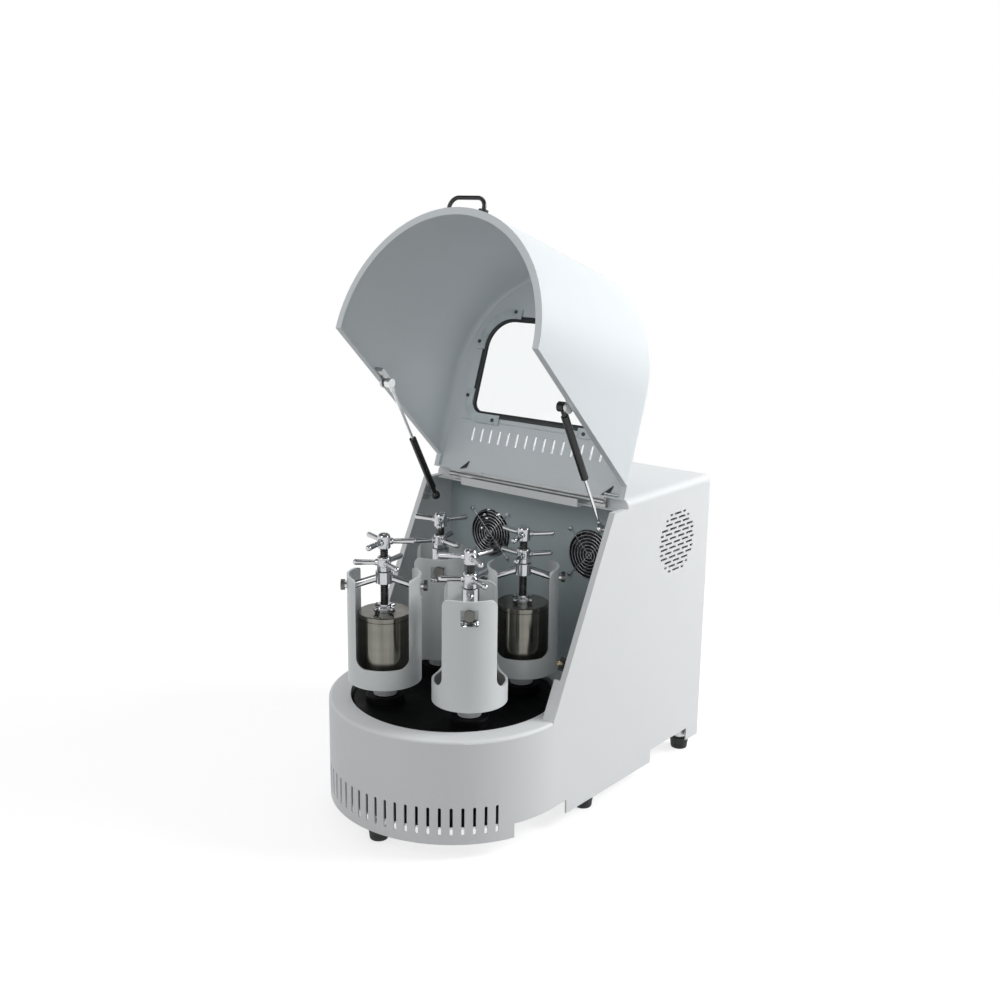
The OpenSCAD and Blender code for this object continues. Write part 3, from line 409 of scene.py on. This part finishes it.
def thread(bm, centre, low, high, crest, root, pitch, steps=40):
    """A screw thread with flat crests and roots that runs out into its root at both ends."""
    flanks = ((0.0, root), (0.3, root), (0.5, crest), (0.8, crest))
    turns = int((high - low) / pitch) + 1
    columns = []
    for i in range(steps + 1):
        a = 2 * math.pi * i / steps
        column = []
        for j in range(-1, turns + 1):
            for part, wanted in flanks:
                z = low + (j + part + i / steps) * pitch
                fade = max(0.0, min(1.0, (z - low) / pitch, (high - z) / pitch))
                r = root + (wanted - root) * fade
                z = min(max(z, low), high)
                column.append(bm.verts.new((centre[0] + r * math.cos(a), centre[1] + r * math.sin(a), z)))
        columns.append(column)
    for left, right in zip(columns, columns[1:]):
        for j in range(len(left) - 1):
            bm.faces.new((left[j], right[j], right[j + 1], left[j + 1]))
    bmesh.ops.remove_doubles(bm, verts=bm.verts, dist=1e-6)
    bmesh.ops.holes_fill(bm, edges=bm.edges, sides=0)


def spoke(bm, centre, z, angle, start, reach):
    """A round arm with a collar at the hub, a slight swell outwards and a half-round end."""
    lie = Matrix.Rotation(math.radians(angle), 4, "Z") @ Matrix.Rotation(math.pi / 2, 4, "Y")
    place = Matrix.Translation((centre[0], centre[1], z)) @ lie
    root = [(0, start), (SPOKE_COLLAR_MM[0][0], start)]
    lathe(bm, scaled(root + SPOKE_COLLAR_MM + dome(SPOKE_R_MM, reach)), place, 20)


def make_handwheel(name, node, body, k, hub, spokes, closed=False):
    """A hub with three spokes on station k, in the place of a plain node."""
    centre = station_axis(k)
    bm = bmesh.new()
    place = Matrix.Translation((centre[0], centre[1], 0.0))
    lathe(bm, scaled(hub), place, 40, closed)
    for third in range(3):
        angle = spokes["first"][k] + 120 * third
        spoke(bm, centre, spokes["z"] * MM, angle, spokes["start"], spokes["reach"])
    wheel = make_piece(name, bm, MATERIALS["clamp_chrome"], body)
    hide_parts(node)


def make_clamp(k, station):
    screw = f"screw_{station}"
    nut = f"nut_{station}"
    bm = bmesh.new()
    thread(bm, station_axis(k), **{key: value * MM for key, value in THREAD_MM.items()})
    make_piece(f"screw_thread_{station}", bm, THREAD_BLACK, screw, sharp=25.0)
    make_handwheel(f"screw_knob_{station}", f"clamp_{screw}", screw, k, KNOB_MM, KNOB_SPOKES)
    make_handwheel(f"nut_wheel_{station}", f"lock_{nut}", nut, k, NUT_MM, NUT_SPOKES, closed=True)


for k, station in enumerate(STATIONS):
    make_clamp(k, station)


# Window seal, drawn on the closed hood and then tilted open with it

WINDOW_MM = {"half": 168.0, "front": -118.0, "rear": 70.0, "front_r": 56.0, "rear_r": 20.0}
SEAL_MM = [(3, 585.5), (0.8, 585.3), (0, 584.2), (0.6, 583.2), (2.6, 582.6), (5.5, 582.5), (8.4, 582.6),
           (10.4, 583.2), (11, 584.2), (10.2, 585.3), (6, 585.5), (6, 590), (10.4, 590), (11, 590.6),
           (9.8, 591.6), (5.5, 592), (1.2, 591.6), (0, 590.6), (0.6, 590), (3, 590)]


def window_edge(offset, z, arc=10):
    """Points round the window in plan, all one offset outside its edge."""
    w = WINDOW_MM
    front = (w["half"] - w["front_r"], w["front"] + w["front_r"], w["front_r"])
    rear = (w["half"] - w["rear_r"], w["rear"] - w["rear_r"], w["rear_r"])
    corners = ((rear, 1, 0), (rear, -1, 90), (front, -1, 180), (front, 1, 270))
    points = []
    for (x, y, r), side, first in corners:
        for i in range(arc + 1):
            a = math.radians(first + 90 * i / arc)
            points.append((side * x + (r + offset) * math.cos(a), y + (r + offset) * math.sin(a), z))
    return [Vector((x * MM, y * MM + DRUM_Y, z * MM)) for x, y, z in points]


def make_seal():
    bm = bmesh.new()
    rings = [[bm.verts.new(p) for p in window_edge(offset, z)] for offset, z in SEAL_MM]
    for low, high in zip(rings, rings[1:] + rings[:1]):
        for i in range(len(low)):
            j = (i + 1) % len(low)
            bm.faces.new((low[i], low[j], high[j], high[i]))
    seal = make_piece("window_seal", bm, MATERIALS["gasket_rubber"], "hood", TO_OPEN, 50.0)
    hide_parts("window_gasket")


make_seal()


# Screws with a cross recess

# Shares of the head's radius and height
HEAD_SIDES = ((1, 0), (1, 0.4), (0.88, 0.82), (0.68, 1))
CROSS = {"arm": 0.46, "half": 0.11, "depth": 0.55}


def pan_head(bm, place, radius, height, steps=24):
    """A pan head with a cross recess, standing up along the Z axis of place."""
    top = lathe(bm, [(r * radius, z * height) for r, z in HEAD_SIDES], place, steps)[-1]
    arm = CROSS["arm"] * radius
    half = CROSS["half"] * radius
    depth = CROSS["depth"] * height
    quarter = [(arm, -half), (arm, half), (half, half)]
    outline = []
    for q in range(4):
        c, s = round(math.cos(q * math.pi / 2)), round(math.sin(q * math.pi / 2))
        outline += [(c * x - s * y, s * x + c * y) for x, y in quarter]
    brim = [bm.verts.new(place @ Vector((x, y, height))) for x, y in outline]
    base = [bm.verts.new(place @ Vector((x, y, height - depth))) for x, y in outline]
    count = len(outline)
    for i in range(count):
        j = (i + 1) % count
        bm.faces.new((brim[i], brim[j], base[j], base[i]))
    bm.faces.new(base)
    edges = []
    for ring in (top, brim):
        edges += [bm.edges.get((ring[i - 1], ring[i])) for i in range(len(ring))]
    bmesh.ops.triangle_fill(bm, use_beauty=True, edges=edges)


RETAINER_SCREWS_MM = ((111, -137), (188, -71), (188, 42), (112, 86))
RETAINER_HEAD_MM = {"radius": 3.9, "height": 2.6, "z": 580.5}
COVER_SCREWS_MM = [(x, z) for x in (-222, 222) for z in (80, 210, 345, 480)]
FAN_MM = {"x": 125.0, "z": 456.0, "hole": 46.0}
BODY_HEAD_MM = {"radius": 3.8, "height": 2.4}
FAN_SCREW_BACK_MM = 0.6


def make_retainer_screws():
    bm = bmesh.new()
    head = RETAINER_HEAD_MM
    for side in (-1, 1):
        for x, y in RETAINER_SCREWS_MM:
            at = Matrix.Translation((side * x * MM, y * MM + DRUM_Y, head["z"] * MM))
            pan_head(bm, at @ Matrix.Rotation(math.pi, 4, "X"), head["radius"] * MM, head["height"] * MM)
    make_piece("retainer_screws", bm, MATERIALS["handle_black"], "hood", TO_OPEN)


def make_body_screws():
    """Screws of the rear cover and of the fan guards, in the places of the plain ones."""
    bm = bmesh.new()
    low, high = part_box("body_screws")
    radius = BODY_HEAD_MM["radius"] * MM
    height = BODY_HEAD_MM["height"] * MM
    back = Matrix.Rotation(-math.pi / 2, 4, "X")
    front = Matrix.Rotation(math.pi / 2, 4, "X")
    for x, z in COVER_SCREWS_MM:
        at = Matrix.Translation((x * MM, high[1] - height, z * MM))
        pan_head(bm, at @ back, radius, height)
    for side, sx, sz in itertools.product((-1, 1), repeat=3):
        x = side * FAN_MM["x"] + sx * FAN_MM["hole"]
        z = FAN_MM["z"] + sz * FAN_MM["hole"]
        at = Matrix.Translation((x * MM, low[1] + height + FAN_SCREW_BACK_MM * MM, z * MM))
        pan_head(bm, at @ front, radius, height)
    screws = make_piece("pan_screws", bm, MATERIALS["screw_steel"], "chassis")
    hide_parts("body_screws")


make_retainer_screws()
make_body_screws()


# Feet

FEET_MM = [(0, -205), (-208, 137), (208, 137), (-208, 488), (208, 488)]
FOOT_MM = [(0, 0), (14.6, 0), (16.2, 0.8), (17.0, 2.4), (17.6, 8.4), (17.2, 9.2), (17.2, 10.4),
           (18.0, 11.2), (19.5, 22.6), (19.9, 24.6), (19.0, 26), (0, 26)]


def make_feet():
    bm = bmesh.new()
    for x, y in FEET_MM:
        lathe(bm, scaled(FOOT_MM), Matrix.Translation((x * MM, y * MM + DRUM_Y, 0.0)), 40)
    feet = make_piece("rubber_feet", bm, MATERIALS["foot_rubber"], "chassis")
    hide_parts("feet")


make_feet()


# Small parts inside the hood, drawn on the closed hood

# Dark wedges at both ends of the hinge strip, drawn as rubber: a painted shadow where those ends lie in
# shade.
SHADOW_WEDGE_MM = (((-170, 193), (-149, 174), (-153, 188)), ((177, 193), (201, 172), (196, 187)))
SHADOW_WEDGE_Z_MM = (581.5, 585.6)
SHADOW_WEDGE_EDGE_MM = 0.6
SEAM_MM = {"half": 196.0, "y": (88.5, 91.0), "z": (584.9, 585.8)}
SEAM_EDGE_MM = 0.3
STAY_MM = {"x": (186.0, 231.0), "y": 188.5, "z": 580.0, "radius": 1.9}


def prism(bm, outline, z0, z1):
    """Stands an outline of (x, y) points in millimetres up from z0 to z1, on the drum's own axes."""
    rings = []
    for z in (z0, z1):
        rings.append([bm.verts.new((x * MM, y * MM + DRUM_Y, z * MM)) for x, y in outline])
    bm.faces.new(rings[0])
    bm.faces.new(rings[1])
    for i in range(len(outline)):
        bm.faces.new((rings[0][i - 1], rings[0][i], rings[1][i], rings[1][i - 1]))


# Painted shadow: dark rubber wedges on the hood's inner face at the shaded ends of the hinge strip.
def make_painted_shadow_wedges():
    bm = bmesh.new()
    for outline in SHADOW_WEDGE_MM:
        prism(bm, outline, *SHADOW_WEDGE_Z_MM)
    bmesh.ops.bevel(bm, geom=bm.edges[:], offset=SHADOW_WEDGE_EDGE_MM * MM, segments=2, affect="EDGES")
    make_piece("painted_shadow_wedges", bm, MATERIALS["gasket_rubber"], "hood", TO_OPEN)


def make_hood_seam():
    """The joint line that crosses the hood between the window and the slots."""
    bm = bmesh.new()
    half, (y0, y1) = SEAM_MM["half"], SEAM_MM["y"]
    prism(bm, ((-half, y0), (half, y0), (half, y1), (-half, y1)), *SEAM_MM["z"])
    bmesh.ops.bevel(bm, geom=bm.edges[:], offset=SEAM_EDGE_MM * MM, segments=2, affect="EDGES")
    make_piece("hood_seam", bm, MATERIALS["retainer_plastic"], "hood", TO_OPEN)


def make_hood_stay():
    """Short bright rod between the end of the hinge and the wall of the hood."""
    bm = bmesh.new()
    x0, x1 = STAY_MM["x"]
    place = Matrix.Translation((x0 * MM, STAY_MM["y"] * MM + DRUM_Y, STAY_MM["z"] * MM))
    r = STAY_MM["radius"]
    profile = scaled([(0, 0), (r * 0.7, 0), (r, 0.8), (r, x1 - x0), (0, x1 - x0)])
    lathe(bm, profile, place @ Matrix.Rotation(math.pi / 2, 4, "Y"), 20)
    make_piece("hood_stay", bm, MATERIALS["chrome"], "hood", TO_OPEN)


make_painted_shadow_wedges()
make_hood_seam()
make_hood_stay()


# Floor, lights and camera

FLOOR_HALF = 30.0
FLOOR_GREY = (0.42, 0.42, 0.42, 1.0)
FLOOR_GLOW = 0.70
FLOOR_FADE = {"From Min": 0.55, "From Max": 1.9}
SKY_FADE = {"From Min": 0.2, "From Max": 0.55, "To Min": 1.0, "To Max": 0.12}
AMBIENT = 0.42
LAMPS = {
    "key": {"place": (2.4, 1.9, 2.3), "size": 1.5, "power": 88.0},
    "fill": {"place": (-0.2, -2.7, 2.4), "size": 1.8, "power": 18.0},
    "top": {"place": (-0.4, 0.6, 3.2), "size": 1.8, "power": 17.0},
}
LAMP_TARGET = Vector((0.0, 0.0, 0.5))


def make_floor():
    """Grey ground that takes the shadow, lifted to near white, and plain white farther out."""
    bm = bmesh.new()
    bmesh.ops.create_grid(bm, x_segments=1, y_segments=1, size=FLOOR_HALF)
    mesh = bpy.data.meshes.new("floor")
    bm.to_mesh(mesh)
    bm.free()
    floor = new_object("floor", mesh)
    n = Nodes(bpy.data.materials.new("floor"))
    far = n.add("ShaderNodeVectorMath", {0: n.coords()}, operation="LENGTH").outputs["Value"]
    fade = n.add("ShaderNodeMapRange", {"Value": far, **FLOOR_FADE}).outputs["Result"]
    seen = n.seen()
    matt = n.add("ShaderNodeBsdfDiffuse", {"Color": FLOOR_GREY}).outputs[0]
    lifted = n.add("ShaderNodeAddShader", {0: matt, 1: n.glow(FLOOR_GLOW)}).outputs[0]
    near = n.add("ShaderNodeMixShader", {0: seen, 1: matt, 2: lifted}).outputs[0]
    white = n.math("MULTIPLY", fade, seen)
    mixed = n.add("ShaderNodeMixShader", {0: white, 1: near, 2: n.glow(1.0)}).outputs[0]
    floor.data.materials.append(n.show(mixed))


def make_world():
    """Even light on the object, and a background that is white round the horizon and darker overhead."""
    world = bpy.data.worlds.new("studio")
    bpy.context.scene.world = world
    n = Nodes(world, "ShaderNodeOutputWorld")
    seen = n.seen()
    way = n.add("ShaderNodeTexCoord").outputs["Generated"]
    height = n.add("ShaderNodeSeparateXYZ", {0: way}).outputs[2]
    sky = n.add("ShaderNodeMapRange", {"Value": height, **SKY_FADE}).outputs["Result"]
    unseen = n.math("SUBTRACT", 1.0, seen)
    strength = n.math("ADD", n.math("MULTIPLY", seen, sky), n.math("MULTIPLY", unseen, AMBIENT))
    background = n.add("ShaderNodeBackground", {"Color": WHITE_LIGHT, "Strength": strength})
    n.show(background.outputs[0])


def add_lamp(name, place, size, power):
    data = bpy.data.lights.new(name, "AREA")
    data.shape = "DISK"
    data.size = size
    data.energy = power
    lamp = new_object(name, data)
    lamp.location = place
    lamp.rotation_euler = (LAMP_TARGET - Vector(place)).to_track_quat("-Z", "Y").to_euler()


def make_camera():
    """Stands the camera at the photograph's place, with its slight roll."""
    data = bpy.data.cameras.new("camera")
    data.lens = LENS
    data.sensor_width = SENSOR
    camera = new_object("camera", data)
    a, e, r = (math.radians(x) for x in (AZIMUTH, ELEVATION, ROLL))
    back = Vector((math.sin(a) * math.cos(e), -math.cos(a) * math.cos(e), math.sin(e)))
    right = (-back).cross(Vector((0, 0, 1))).normalized()
    up = right.cross(-back)
    across = math.cos(r) * right + math.sin(r) * up
    upright = math.cos(r) * up - math.sin(r) * right
    turn = Matrix((across, upright, back)).transposed().to_4x4()
    camera.matrix_world = Matrix.Translation(CAMERA_AT) @ turn
    bpy.context.scene.camera = camera


bpy.context.scene.view_settings.view_transform = "Standard"
make_floor()
make_world()
for name, lamp in LAMPS.items():
    add_lamp(name, **lamp)
make_camera()
